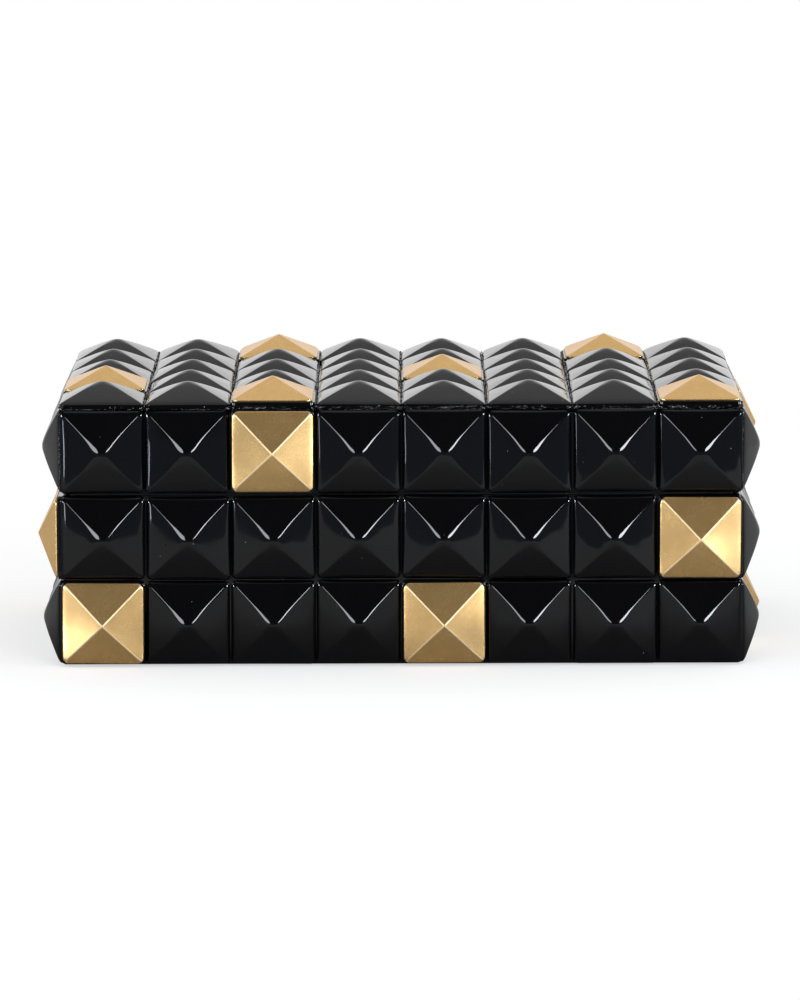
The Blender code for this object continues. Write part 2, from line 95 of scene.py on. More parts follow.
# How unevenly black studs are set by hand. Spreads are standard deviations, lengths are millimetres
SHORT_SIDE = 0.3  # at most
SHORT_TIP = 0.3  # at most
LEAN_SPREAD, LEAN_LIMIT = 0.008, 0.016  # rise per length
SPIN_SPREAD = 0.004  # radians
SHIFT_SPREAD, SHIFT_LIMIT = 0.16, 0.3
PRESSED_IN = 0.15  # at most
GOLD_SHIFT_SPREAD, GOLD_SHIFT_LIMIT = 0.12, 0.2

# Gold studs
GOLD_CORNER = 2.9 * MM
GOLD_SPREAD = 0.7 * MM
GOLD_RIDGE = 0.3 * MM
GOLD_RIDGE_SWELL = 0.35 * MM
GOLD_TIP = 0.6 * MM
TIP_POWER = 2.4  # how suddenly a slope rounds over at the tip
GOLD_DROP = 0.16 * MM
GOLD_SAG = 0.9 * MM
GOLD_EDGE = 0.6 * MM
GOLD_PILLOW = math.radians(-2.5)
PILLOW_INSET = 2.5 * MM  # how far in from the rim the rounding starts
GOLD_SKIRT = 0.8 * MM
# Millimetres out from the side and up from the pad
GOLD_FOOT = [(-0.35, 0.0), (-0.12, 0.0), (0.0, 0.12)]

# Levels of a stud: close to the rim, up the rest of the slope, and round the edge
RIM_LEVELS, SLOPE_LEVELS, EDGE_LEVELS = 10, 20, 6

# Roundings of the other pieces
CORNER_STEPS = 8  # points round a quarter of an outline
WOOD_EASE = 0.4 * MM
FELT_EASE = 0.2 * MM
HINGE_CREASE = 40  # degrees: flatter edges of the hinges and screws are shaded round
LINING_WALL = 1.2 * MM
LINING_FILLET = 3.0 * MM
LINING_CORNER = 4.0 * MM
LINING_CROWN = 0.5 * MM  # how far the floor of a lining rises in its middle

# Beads of glue along the lid
BEAD_STEP = 0.32 * MM  # from ring to ring
BEAD_POINTS = 7  # round a ring
BEAD_SUNK = 0.55 * MM  # below the feet of the top's studs
BEAD_SHORT = 0.6 * MM  # how far before the lid's edge a bead ends
EDGE_RISE = 0.7 * MM  # of the beads round the top, over the grid's plane
EDGE_INSET = 0.35 * MM
CORNER_INSET = 0.3 * MM
CORNER_SHORT = 1.0 * MM
LOW_DROP = 0.8 * MM  # of the front's lower bead, under the edge's
LOW_OUT = 0.15 * MM
GOLD_BEAD_DROP = 0.3 * MM  # of the beads under the gold studs at the front
GOLD_BEAD_REACH = 0.4  # to either side, in pitches
COLUMN_BEAD = 0.40 * MM  # radii
ROW_BEAD = 0.34 * MM
LOW_BEAD = 0.34 * MM
GOLD_BEAD = 0.75 * MM
EDGE_BEAD = 0.56 * MM
SIDE_BEAD = 0.46 * MM
CORNER_BEAD = 0.40 * MM

# Gold studs by face, as (column, row), rows counted down a wall and back along the top
GOLD = {
    "top": [(3, 1), (8, 1), (1, 2), (5, 3), (3, 5), (7, 5)],
    "front": [(3, 1), (8, 2), (1, 3), (5, 3)],
    "back": [(4, 1), (8, 2), (2, 3), (6, 3)],
    "left": [(5, 2), (1, 3)],
    "right": [(3, 1), (2, 3)],
}
# How far the front's gold studs lean, rise per length to the right and up
GOLD_LEAN = {
    ("front", 3, 1): (-0.028, 0.004),
    ("front", 8, 2): (-0.020, -0.004),
    ("front", 1, 3): (0.033, -0.020),
    ("front", 5, 3): (-0.018, -0.004),
}
# Each face's directions to its right and up, as seen from outside
FACES = {
    "top": (Vector((1, 0, 0)), Vector((0, 1, 0))),
    "front": (Vector((1, 0, 0)), Vector((0, 0, 1))),
    "back": (Vector((-1, 0, 0)), Vector((0, 0, 1))),
    "left": (Vector((0, -1, 0)), Vector((0, 0, 1))),
    "right": (Vector((0, 1, 0)), Vector((0, 0, 1))),
}

# The camera, found from the studs' tips in the photograph
CAMERA_PLACE = Vector((-0.53, -2822.0, 476.0)) * MM
CAMERA_TILT = math.radians(8.435)  # below the horizon
CAMERA_ROLL = -0.0028  # the picture stands a little askew, in radians
FOCAL_PIXELS = 6562.0
IMAGE_HEIGHT = 1000.0
SENSOR = 36.0

# Colours of lamps and lacquer
COOL = (0.90, 1.0, 1.14)
SOFT = (0.95, 1.0, 1.07)
LACQUER = (0.0006, 0.0006, 0.0008), (0.0013, 0.0013, 0.0016)


class Wire:
    """An output socket. Arithmetic on wires adds Math nodes to their tree."""

    def __init__(self, tree, socket):
        self.tree = tree
        self.socket = socket

    def math(self, operation, *others):
        sockets = dict(enumerate((self, *others)))
        return self.tree.node("ShaderNodeMath", {"operation": operation}, sockets)

    def __add__(self, other):
        return self.math("ADD", other)

    def __sub__(self, other):
        return self.math("SUBTRACT", other)

    def __mul__(self, other):
        return self.math("MULTIPLY", other)

    def __rsub__(self, other):
        return self.tree.node("ShaderNodeMath", {"operation": "SUBTRACT"}, {0: other, 1: self})

    __radd__ = __add__
    __rmul__ = __mul__

    def other(self, name):
        """Another output of the node that made this one."""
        return Wire(self.tree, self.socket.node.outputs[name])

    def ramp(self, low, high):
        """0 below low, 1 above high, and smooth between. Turned round when low is the higher."""
        kind = {"interpolation_type": "SMOOTHSTEP"}
        if low < high:
            return self.tree.node("ShaderNodeMapRange", kind, {0: self, 1: low, 2: high})
        return self.tree.node("ShaderNodeMapRange", kind, {0: self, 1: high, 2: low, 3: 1.0, 4: 0.0})


class Tree:
    """A node tree under construction."""

    def __init__(self, owner):
        owner.use_nodes = True
        self.nodes = owner.node_tree.nodes
        self.links = owner.node_tree.links

    def node(self, kind, settings=None, sockets=None, output=0):
        """Adds a node: its settings first, then the values or wires of its sockets."""
        made = self.nodes.new(kind)
        for name, value in (settings or {}).items():
            setattr(made, name, value)
        self.plug(made, sockets or {})
        return Wire(self, made.outputs[output])

    def plug(self, node, sockets):
        for key, value in sockets.items():
            if isinstance(value, Wire):
                self.links.new(value.socket, node.inputs[key])
            else:
                node.inputs[key].default_value = value

    def place(self, scale=(1, 1, 1)):
        """Object coordinates, stretched."""
        place = self.node("ShaderNodeTexCoord", output="Object")
        return self.node("ShaderNodeMapping", None, {"Vector": place, "Scale": scale})

    def noise(self, vector, scale, detail=2.0, roughness=0.5):
        sockets = {"Vector": vector, "Scale": scale, "Detail": detail, "Roughness": roughness}
        return self.node("ShaderNodeTexNoise", None, sockets, "Fac")

    def colour(self, factor, low, high):
        """A colour between two, by a factor."""
        low, high = (end if isinstance(end, Wire) else (*end, 1.0) for end in (low, high))
        sockets = {"Factor": factor, 6: low, 7: high}
        return self.node("ShaderNodeMix", {"data_type": "RGBA"}, sockets, 2)

    def bump(self, height, distance, strength=1.0, normal=None):
        sockets = {"Height": height, "Distance": distance, "Strength": strength}
        if normal:
            sockets["Normal"] = normal
        return self.node("ShaderNodeBump", None, sockets, "Normal")


def new_finish(name, **fixed):
    """A material with a Principled shader. Fixed values are set on the shader's own sockets."""
    material = bpy.data.materials.new(name)
    tree = Tree(material)
    shader = tree.nodes["Principled BSDF"]
    for socket, value in fixed.items():
        shader.inputs[socket.replace("_", " ")].default_value = value
    return material, tree, shader


def black_lacquer():
    """Thick glossy lacquer: a slow wave from the brush, fine dust, and a rare speck."""
    material, tree, shader = new_finish("black_lacquer", IOR=1.5)
    place = tree.place()
    wave = tree.noise(place, 70.0, 1.0)
    dust = tree.noise(place, 900.0, 2.0, 0.6)
    cell = tree.node("ShaderNodeTexVoronoi", None, {"Vector": place, "Scale": 170.0}, "Distance")
    chance = cell.other("Color")
    speck = cell.ramp(0.06, 0.02) * chance.ramp(0.62, 0.64)
    lint = cell.ramp(0.040, 0.025) * chance.ramp(0.42, 0.40)
    haze = tree.noise(place, 35.0, 3.0, 0.6)
    soft = tree.bump(wave, 0.35 * MM, 0.5)
    fine = tree.bump(speck, 0.12 * MM, 1.0, soft)
    tree.plug(shader, {
        "Base Color": tree.colour(lint * 0.5, tree.colour(haze, *LACQUER), (0.30, 0.30, 0.29)),
        "Roughness": haze * 0.05 + dust * 0.03 + 0.02 + lint * 0.3,
        "Normal": fine,
    })
    return material


def glue_lacquer():
    """The rough bead of glue and lacquer along the lid's seams."""
    material, tree, shader = new_finish("glue_lacquer", IOR=1.7)
    place = tree.place()
    lumps = tree.noise(place, 900.0, 3.0, 0.6)
    tree.plug(shader, {
        "Base Color": tree.colour(lumps, (0.001, 0.001, 0.0012), (0.004, 0.004, 0.0044)),
        "Roughness": lumps * 0.12 + 0.05,
        "Normal": tree.bump(lumps, 0.7 * MM, 0.9),
    })
    return material


def satin_gold():
    """Satin gold sheet, brushed along each slope, uneven and faintly clouded from the polishing.

    Its ridges are worn pale, with a painted highlight, and a soft coat carries the bright slopes' cream."""
    coat = {"Coat_Weight": 0.5, "Coat_Roughness": 0.28, "Coat_IOR": 1.6}
    edge = (0.78, 0.66, 0.52, 1.0)
    material, tree, shader = new_finish("satin_gold", Metallic=0.9, Specular_Tint=edge, **coat)
    across = tree.node("ShaderNodeAttribute", {"attribute_name": "across"}, output="Vector")
    grain = tree.node("ShaderNodeMapping", None, {"Vector": across, "Scale": (1.0, 0.012, 1.0)})
    lines = tree.noise(grain, 3800.0, 2.0, 0.6)
    bands = tree.noise(grain, 420.0, 2.0)
    place = tree.place()
    cloud = tree.noise(place, 130.0, 3.0, 0.55)
    grit = tree.noise(place, 2600.0, 2.0, 0.7)
    swell = tree.noise(place, 38.0, 0.0)
    tone = cloud * 0.5 + bands * 0.5
    from_ridge = tree.node("ShaderNodeSeparateXYZ", None, {0: across}, "Z")
    # Paler and rougher along each ridge: partly wear, partly a painted highlight on the ridge
    worn_ridge_highlight = from_ridge.ramp(0.62 * MM, 0.25 * MM)
    uneven = tree.bump(swell, 1.6 * MM, 0.8)
    plain = tree.colour(tone.ramp(0.3, 0.7), (0.83, 0.51, 0.185), (0.90, 0.57, 0.22))
    tree.plug(shader, {
        "Base Color": tree.colour(worn_ridge_highlight * 0.8, plain, (1.0, 0.80, 0.50)),
        "Roughness": cloud * 0.04 + lines * 0.05 + 0.22 + worn_ridge_highlight * 0.22,
        "Normal": tree.bump(lines * 0.7 + grit * 0.3, 0.02 * MM, 0.2, uneven),
    })
    return material


def stained_wood():
    """Black stained fibreboard: fine fibres and broad blotches."""
    material, tree, shader = new_finish("stained_wood", IOR=1.5)
    fibre = tree.noise(tree.place((0.15, 1.0, 1.0)), 1100.0, 4.0, 0.65)
    blotch = tree.noise(tree.place(), 28.0, 4.0, 0.6)
    tone = fibre * 0.6 + blotch * 0.4
    tree.plug(shader, {
        "Base Color": tree.colour(tone, (0.008, 0.0075, 0.007), (0.034, 0.031, 0.028)),
        "Roughness": blotch * 0.15 + fibre * 0.15 + 0.34,
        "Normal": tree.bump(fibre, 0.08 * MM, 0.5),
    })
    return material


def black_velvet():
    """Short black pile, brushed one way in places."""
    sheen = {"Sheen_Weight": 0.6, "Sheen_Roughness": 0.35, "Sheen_Tint": (0.55, 0.55, 0.60, 1.0)}
    material, tree, shader = new_finish("black_velvet", Roughness=0.9, Specular_IOR_Level=0.1, **sheen)
    place = tree.place()
    pile = tree.noise(place, 3200.0, 3.0, 0.8)
    brushed = tree.noise(tree.place((1.0, 0.45, 1.0)), 42.0, 3.0, 0.55).ramp(0.35, 0.68)
    tone = brushed * 0.7 + pile * 0.3
    tree.plug(shader, {
        "Base Color": tree.colour(tone, (0.006, 0.006, 0.007), (0.030, 0.030, 0.034)),
        "Normal": tree.bump(pile, 0.25 * MM, 0.8),
    })
    return material


def grey_felt():
    """Pressed felt with matted hairs."""
    material, tree, shader = new_finish("grey_felt", Roughness=0.95)
    place = tree.place()
    hairs = tree.noise(place, 1500.0, 5.0, 0.75)
    mats = tree.noise(place, 260.0, 3.0)
    tree.plug(shader, {
        "Base Color": tree.colour(hairs * 0.6 + mats * 0.4, (0.020, 0.020, 0.021), (0.11, 0.11, 0.11)),
        "Normal": tree.bump(hairs, 0.3 * MM, 0.9),
    })
    return material


def plain_metal(name, dark, light, scratch, low, high):
    """Rolled hinge metal: lines from the rolling and a mottled polish."""
    material, tree, shader = new_finish(name, Metallic=1.0)
    lines = tree.noise(tree.place((0.06, 1.0, 1.0)), scratch, 3.0, 0.6)
    cloud = tree.noise(tree.place(), 260.0, 3.0, 0.6)
    tree.plug(shader, {
        "Base Color": tree.colour(cloud * 0.7 + lines * 0.3, dark, light),
        "Roughness": cloud * (high - low) * 0.5 + lines * (high - low) * 0.5 + low,
        "Normal": tree.bump(lines, 0.02 * MM, 0.4),
    })
    return material


def rounded_ring(half_x, half_y, corner, swell=0.0, side_steps=8):
    """Rings round rectangles with rounded corners, one for each level, anticlockwise.

    Each side is a parabola that stands proud in its middle and meets its corners at the angle
    swell. Each corner is a quarter circle less that angle at both ends: its middle plus its radius
    times (cos, sin). Side points crowd towards the corners. Returns the places (levels, points, 2),
    and how far across its own side each point lies."""
    values = np.broadcast_arrays(*np.atleast_1d(half_x, half_y, corner, swell))
    half_x, half_y, corner, swell = (value[:, None] for value in values)
    share = np.cos(np.linspace(0, math.pi, side_steps + 1))[None, :-1]
    turn = swell + (math.pi / 2 - 2 * swell) * np.linspace(0, 1, CORNER_STEPS + 1)[None, :-1]
    places, across = [], []
    for quarter in range(4):
        side, top = (half_x, half_y) if quarter % 2 == 0 else (half_y, half_x)
        reach = top - corner * (np.cos(swell) - np.sin(swell))
        flat = np.stack([side + reach * np.tan(swell) / 2 * (1 - share**2), -reach * share], -1)
        arc_x = side - corner * (np.cos(swell) - np.cos(turn))
        arc_y = top - corner * (np.cos(swell) - np.sin(turn))
        ring = np.concatenate([flat, np.stack([arc_x, arc_y], -1)], 1)
        places.append(turned_about_z(ring, quarter))
        across.append(ring[..., 1])
    return np.concatenate(places, 1), np.concatenate(across, 1)


def turned_about_z(places, quarters):
    """Turns (x, y) pairs by quarters of a circle."""
    x, y = places[..., 0], places[..., 1]
    for _ in range(quarters):
        x, y = -y, x
    return np.stack([x, y], -1)


def ring_quads(levels, points):
    """The quads between rings of points. Point i of level j is number j * points + i."""
    step = np.arange(points)
    after = (step + 1) % points
    start = np.arange(levels - 1)[:, None] * points
    quads = np.stack([start + step, start + after, start + points + after, start + points + step], -1)
    return quads.reshape(-1, 4).tolist()


def lofted(rings, heights):
    """A closed skin over rings at heights, bottom ring first, with a fan to the middle at each end.

    Returns the points and the faces."""
    levels, points = rings.shape[:2]
    body = np.concatenate([rings, np.broadcast_to(heights[:, None, None], (levels, points, 1))], 2)
    ends = np.array([[*rings[0].mean(0), heights[0]], [*rings[-1].mean(0), heights[-1]]])
    low, high = levels * points, levels * points + 1
    last = (levels - 1) * points
    bottom = [(low, (step + 1) % points, step) for step in range(points)]
    top = [(high, last + step, last + (step + 1) % points) for step in range(points)]
    return np.concatenate([body.reshape(-1, 3), ends]), ring_quads(levels, points) + bottom + top


def make_piece(name, shells, body, slot, material, replaces=(), across=None, sharp=None):
    """One mesh of several closed shells, dressed, and told what it rides on and stands for."""
    points, faces, start = [], [], 0
    for shell_points, shell_faces in shells:
        points.append(shell_points)
        faces += [tuple(index + start for index in face) for face in shell_faces]
        start += len(shell_points)
    mesh = bpy.data.meshes.new(name)
    mesh.from_pydata(np.concatenate(points).tolist(), [], faces)
    mesh.shade_smooth()
    if sharp:
        mesh.set_sharp_from_angle(angle=sharp)
    if across is not None:
        layer = mesh.attributes.new("across", "FLOAT_VECTOR", "POINT")
        layer.data.foreach_set("vector", across.astype(np.float32).ravel())
    thing = bpy.data.objects.new(name, mesh)
    bpy.context.scene.collection.objects.link(thing)
    dress(thing, body, material, replaces)
    return thing


def dress(thing, body, material, replaces=()):
    """Gives a piece its material, the solids it stands for and the body it rides on."""
    thing.data.materials.clear()
    thing.data.materials.append(material)
    if replaces:
        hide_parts(*replaces)
    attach(thing, body)


def stud_profile(side, skirt, tip_height, tip, drop, sag, arc, foot):
    """A stud's levels from its foot up: half-widths and heights.

    With d the distance in from the rim, the slope's height is
    skirt + gradient * (half - (a**p + tip**p)**(1/p)) - drop * exp(-d / sag), a being half - d and p
    TIP_POWER. The root rounds the tip, and the exponential lets the slope sag over the rim. Levels
    crowd towards both. Below come a small arc and the straight side down to the foot's own levels."""
    half = side / 2
    gradient = (tip_height - skirt) / (half - tip)
    near_rim = sag * 5 * np.linspace(0, 1, RIM_LEVELS) ** 1.6
    inner = (half - near_rim[-1]) * np.linspace(1, 0.04, SLOPE_LEVELS)[1:] ** 1.3
    width = np.concatenate([half - near_rim, inner])
    inset = half - width
    blunt = (width**TIP_POWER + tip**TIP_POWER) ** (1 / TIP_POWER)
    height = skirt + gradient * (half - blunt) - drop * np.exp(-inset / sag)
    lean = math.atan(gradient + drop / sag)
    turn = np.linspace(0, math.pi / 2 - lean, EDGE_LEVELS)[:-1]
    arc_width = half + arc * (np.cos(turn) - math.sin(lean))
    arc_height = height[0] + arc * (np.sin(turn) - math.cos(lean))
    grow = arc * (1 - math.sin(lean))
    widths = np.concatenate([[w + grow + half for w, _ in foot], arc_width, width]) - grow
    heights = np.concatenate([[h for _, h in foot], arc_height, height])
    return widths, heights


def pillow(widths, half, angle):
    """How far each level's sides are rounded: nothing at the rim, and the whole angle further in."""
    return angle * (1 - np.exp(-np.clip(half - widths, 0, None) / PILLOW_INSET))


def ridge_radius(widths, half, outer, spread, ridge, swell, fade):
    """The corner radius of each level: the outline's at the rim, then the ridge's, wider at the tip.

    It always stays under the level's half-width."""
    from_rim = np.clip(half - widths, 0, None)
    radius = ridge + (outer - ridge) * np.exp(-from_rim / spread) + swell * np.exp(-widths / fade)
    return (radius**-2 + widths**-2) ** -0.5 * 0.98


def tilted(places, lean, spin):
    """A small tilt, as shares of rise per length, and a small turn in the face's plane."""
    x, y, z = places[:, 0], places[:, 1], places[:, 2]
    turned_x, turned_y = x - spin * y, y + spin * x
    return np.stack([turned_x, turned_y, z + lean[0] * x + lean[1] * y], 1)


def on_face(places, face, low):
    """From a face's own frame (right, up, out) into the box's. Low is the grid's lower edge there."""
    right, up = FACES[face]
    out = right.cross(up)
    if face == "top":
        start = Vector((0, 0, TOP_PLANE))
    else:
        start = Vector((out.x * HALF_WIDTH, out.y * HALF_DEPTH, low))
    turn = np.array([right, up, out])
    return places @ turn + np.array(start)


def grid_spots(face, rows, first_row):
    """(column, row, x, y) of each stud, x and y in the face's own frame."""
    columns = DEPTH_ROWS if face in ("left", "right") else COLUMNS
    for column in range(1, columns + 1):
        for row in range(first_row, first_row + rows):
            x = (column - (columns + 1) / 2) * PITCH
            if face == "top":
                y = (row - (rows + 1) / 2) * PITCH
            else:
                y = (first_row + rows - 1 - row + 0.5) * PITCH
            yield column, row, x, y


def black_stud(rng, x, y, skirt, tip_height, groove, extra):
    """A lacquered stud, set by hand: a little off its place, tilted and turned."""
    foot = [(out * MM, -groove + up * MM) for out, up in FOOT]
    side = BLACK_SIDE + extra - rng.uniform(0.0, SHORT_SIDE) * MM
    tip_height = tip_height - BLACK_WORN - rng.uniform(0.0, SHORT_TIP) * MM
    slope = BLACK_TIP, BLACK_DROP, BLACK_SAG, BLACK_EDGE
    widths, heights = stud_profile(side, skirt, tip_height, *slope, foot)
    corners = BLACK_CORNER, BLACK_SPREAD, BLACK_RIDGE, BLACK_RIDGE_SWELL, RIDGE_FADE
    radius = ridge_radius(widths, side / 2, *corners)
    rings, _ = rounded_ring(widths, widths, radius, pillow(widths, side / 2, BLACK_PILLOW))
    points, faces = lofted(rings, heights)
    lean = np.clip(rng.normal(0, LEAN_SPREAD, 2), -LEAN_LIMIT, LEAN_LIMIT)
    points = tilted(points, lean, rng.normal(0, SPIN_SPREAD))
    aside = np.clip(rng.normal(0, SHIFT_SPREAD, 2), -SHIFT_LIMIT, SHIFT_LIMIT)
    shift = np.array([*aside, rng.uniform(-PRESSED_IN, 0.0)]) * MM
    return points + np.array([x, y, 0]) + shift, faces


def black_pad(x, y, skirt, groove, extra):
    """The flat blank under a gold stud."""
    top = skirt + PAD_RISE
    turn = np.linspace(0, math.pi / 2, 5)
    half = (BLACK_SIDE + extra) / 2
    foot = np.array(FOOT) * MM
    widths = np.concatenate([half + foot[:, 0], half - PAD_ARC * (1 - np.cos(turn)), [half * 0.5]])
    heights = np.concatenate([foot[:, 1] - groove, top - PAD_ARC * (1 - np.sin(turn)), [top]])
    rings, _ = rounded_ring(widths, widths, np.minimum(BLACK_CORNER, widths * 0.9))
    points, faces = lofted(rings, heights)
    return points + np.array([x, y, 0]), faces


def sliced(shell, place, normal):
    """A closed shell cut by a plane, with what lies on the normal's side removed and the cut capped."""
    bm = bmesh.new()
    corners = [bm.verts.new(point) for point in shell[0]]
    for face in shell[1]:
        bm.faces.new([corners[index] for index in face])
    everything = bm.verts[:] + bm.edges[:] + bm.faces[:]
    cut = bmesh.ops.bisect_plane(bm, geom=everything, plane_co=place, plane_no=normal, clear_outer=True)
    rim = [piece for piece in cut["geom_cut"] if isinstance(piece, bmesh.types.BMEdge)]
    bmesh.ops.edgeloop_fill(bm, edges=rim)
    bm.verts.index_update()
    points = np.array([vertex.co[:] for vertex in bm.verts])
    faces = [tuple(vertex.index for vertex in face.verts) for face in bm.faces]
    bm.free()
    return points, faces


def ground_slab(half_width, low, high, groove, mitred, notches, notch_tall):
    """The ground between the studs: one outline at the back and one in front.

    A mitred edge leans in by its depth behind the grid's plane. A notch is a step in the edge that
    meets the seam, at the top of the base's panel or the bottom of the lid's."""
    steps = []
    for middle in sorted(notches):
        start, end = middle - PITCH / 2, middle + PITCH / 2
        steps += [(start, 0), (start, 1), (end, 1), (end, 0)]
    outlines = []
    for level in (-THICKNESS, -groove):
        lean = min(level, 0) - MITRE_GAP
        left = -half_width - lean * ("left" in mitred)
        right = half_width + lean * ("right" in mitred)
        bottom = low - lean * ("bottom" in mitred)
        top = high + lean * ("top" in mitred)
        lower_edge, upper_edge = [], []
        if "seam_low" in mitred:
            lower_edge = [(x, bottom + deep * notch_tall) for x, deep in steps]
        if "seam_high" in mitred:
            upper_edge = [(x, top - deep * notch_tall) for x, deep in reversed(steps)]
        ring = [(left, bottom), *lower_edge, (right, bottom), (right, top), *upper_edge, (left, top)]
        outlines.append([(x, y, level) for x, y in ring])
    count = len(outlines[0])
    faces = [(i, (i + 1) % count, count + (i + 1) % count, count + i) for i in range(count)]
    faces += [tuple(reversed(range(count))), tuple(range(count, 2 * count))]
    return np.array(outlines[0] + outlines[1]), faces


def stud_field(body, face, rows, first_row, mitred, rng, material):
    """One face of the lid or the base: its ground, its black studs and its pads."""
    node = f"{body}_{face}_panel"
    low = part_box(node)[0].z if face != "top" else 0.0
    columns = DEPTH_ROWS if face in ("left", "right") else COLUMNS
    skirt = WALL_SKIRT if face != "top" else TOP_TIP - (WALL_TIP - WALL_SKIRT)
    tip_height = WALL_TIP if face != "top" else TOP_TIP
    groove, extra = (GROOVE, 0.0) if face != "top" else (TOP_GROOVE, TOP_SIDE_EXTRA)
    notches = [-HINGE_X, HINGE_X] if face == "back" else []
    tall = NOTCH_HALF - abs(SEAM - (low + rows * PITCH if body == "base" else low))
    half_height = rows * PITCH / 2
    bottom, top = (-half_height, half_height) if face == "top" else (0.0, rows * PITCH)
    if notches:
        mitred = mitred + (("seam_high",) if body == "base" else ("seam_low",))
    shells = [ground_slab(columns * PITCH / 2, bottom, top, groove, mitred, notches, tall)]
    for column, row, x, y in grid_spots(face, rows, first_row):
        if (column, row) in GOLD[face]:
            shell = black_pad(x, y, skirt, groove, extra)
        else:
            shell = black_stud(rng, x, y, skirt, tip_height, groove, extra)
        if notches and min(abs(x - middle) for middle in notches) < PITCH / 2 and row in SEAM_ROWS:
            edge, way = (top - tall, 1) if body == "base" else (bottom + tall, -1)
            shell = sliced(shell, (0, edge, 0), (0, way, 0))
        shells.append(shell)
    shells = [(on_face(points, face, low), faces) for points, faces in shells]
    name = f"{body}_{face}_lacquer"
    make_piece(name, shells, body, "black_lacquer", material, (node,), sharp=math.radians(50))


def gold_cap(face, column, row, rng, material):
    """A pressed gold stud on its pad, with its brushing running up each slope.

    Its points keep (across, width, from_ridge) for the finish: how far across its own slope each
    lies, apart for every slope, its level's half-width, and how far it is from the nearest ridge."""
    node = f"gold_stud_{face}_{column}_{row}"
    low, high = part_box(node)
    right, up = FACES[face]
    out = right.cross(up)
    body = "base" if face != "top" and row > 1 else "lid"
    middle = (low + high) / 2
    size = high - low
    reach = abs(size.dot(out))
    side = max(abs(size.dot(right)), abs(size.dot(up)))
    seat = middle - out * reach / 2
    foot = [(out_by * MM, up_by * MM) for out_by, up_by in GOLD_FOOT]
    slope = GOLD_TIP, GOLD_DROP, GOLD_SAG, GOLD_EDGE
    widths, heights = stud_profile(side, GOLD_SKIRT, reach, *slope, foot)
    corners = GOLD_CORNER, GOLD_SPREAD, GOLD_RIDGE, GOLD_RIDGE_SWELL, RIDGE_FADE
    radius = ridge_radius(widths, side / 2, *corners)
    rings, across = rounded_ring(widths, widths, radius, pillow(widths, side / 2, GOLD_PILLOW))
    points, faces = lofted(rings, heights)
    lines = np.zeros((len(points), 3))
    number = np.repeat(np.arange(4), across.shape[1] // 4) + 4 * (column + COLUMNS * row)
    lines[: across.size, 0] = (across + number * PITCH).ravel()
    lines[: across.size, 1] = np.broadcast_to(widths[:, None], across.shape).ravel()
    lines[: across.size, 2] = (widths[:, None] - np.abs(across)).ravel()
    points = tilted(points, GOLD_LEAN.get((face, column, row), (0, 0)), rng.normal(0, SPIN_SPREAD))
    aside = np.clip(rng.normal(0, GOLD_SHIFT_SPREAD, 2), -GOLD_SHIFT_LIMIT, GOLD_SHIFT_LIMIT)
    shift = np.array([*aside, 0]) * MM
    turn = np.array([right, up, out])
    shells = [((points + shift) @ turn + np.array(seat), faces)]
    extras = {"across": lines, "sharp": math.radians(60)}
    make_piece(f"{node}_cap", shells, body, "satin_gold", material, (node,), **extras)


def softened(node, body, material, width=0.0, angle=35):
    """A CAD piece with its edges eased: a merged copy with smooth faces, and a live Bevel if given a
    width.
    """
    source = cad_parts[node]
    bm = bmesh.new()
    bm.from_mesh(source.data)
    bmesh.ops.remove_doubles(bm, verts=bm.verts, dist=0.002 * MM)
    bmesh.ops.dissolve_limit(bm, angle_limit=math.radians(1), verts=bm.verts, edges=bm.edges)
    mesh = bpy.data.meshes.new(f"{node}_eased")
    bm.to_mesh(mesh)
    bm.free()
    mesh.shade_smooth()
    mesh.set_sharp_from_angle(angle=math.radians(angle))
    thing = bpy.data.objects.new(f"{node}_eased", mesh)
    bpy.context.scene.collection.objects.link(thing)
    if width:
        bevel = thing.modifiers.new("ease", "BEVEL")
        bevel.width = width
        bevel.segments = 2
        bevel.limit_method = "ANGLE"
        bevel.angle_limit = math.radians(angle)
        bevel.harden_normals = True
    dress(thing, body, material, (node,))


def lining_tray(node, body, open_way, material):
    """A velvet-covered tray: rings up the outside, over the rim, down the inside and in to the middle.

    Open_way is 1 for the base's, open at its top, and -1 for the lid's. The inside corners are
    rounded, and the floor is crowned by the cosine of the distance from its middle."""
    low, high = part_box(node)
    half_x, half_y = (high.x - low.x) / 2, (high.y - low.y) / 2
    tall = high.z - low.z
    turn = np.linspace(0, math.pi, 7)
    rim_inset = LINING_WALL / 2 * (1 - np.cos(turn))
    rim_height = tall - LINING_WALL / 2 * (1 - np.sin(turn))
    bend = np.linspace(0, math.pi / 2, 8)
    bend_inset = LINING_WALL + LINING_FILLET * (1 - np.cos(bend))
    bend_height = LINING_WALL + LINING_FILLET * (1 - np.sin(bend))
    share = np.linspace(0, 0.98, 14)[1:]
    floor_inset = bend_inset[-1] + (half_y - bend_inset[-1]) * share
    floor_height = LINING_WALL + LINING_CROWN * (1 - np.cos(math.pi * share)) / 2
    inset = np.concatenate([[0.4 * MM, 0.0], rim_inset, bend_inset, floor_inset])
    heights = np.concatenate([[0.0, 0.4 * MM], rim_height, bend_height, floor_height])
    corner = np.clip(LINING_CORNER - inset * 0.2, LINING_CORNER / 2, None)
    corner = np.minimum(corner, (half_y - inset) * 0.95)
    rings, _ = rounded_ring(half_x - inset, half_y - inset, corner, side_steps=20)
    points, faces = lofted(rings, heights)
    if open_way < 0:
        points[:, 1] *= -1
        points[:, 2] = tall - points[:, 2]
    points += np.array([(low.x + high.x) / 2, (low.y + high.y) / 2, low.z])
    shells = [(points, faces)]
    crease = math.radians(60)
    make_piece(f"{node}_velvet", shells, body, "black_velvet", material, (node,), sharp=crease)


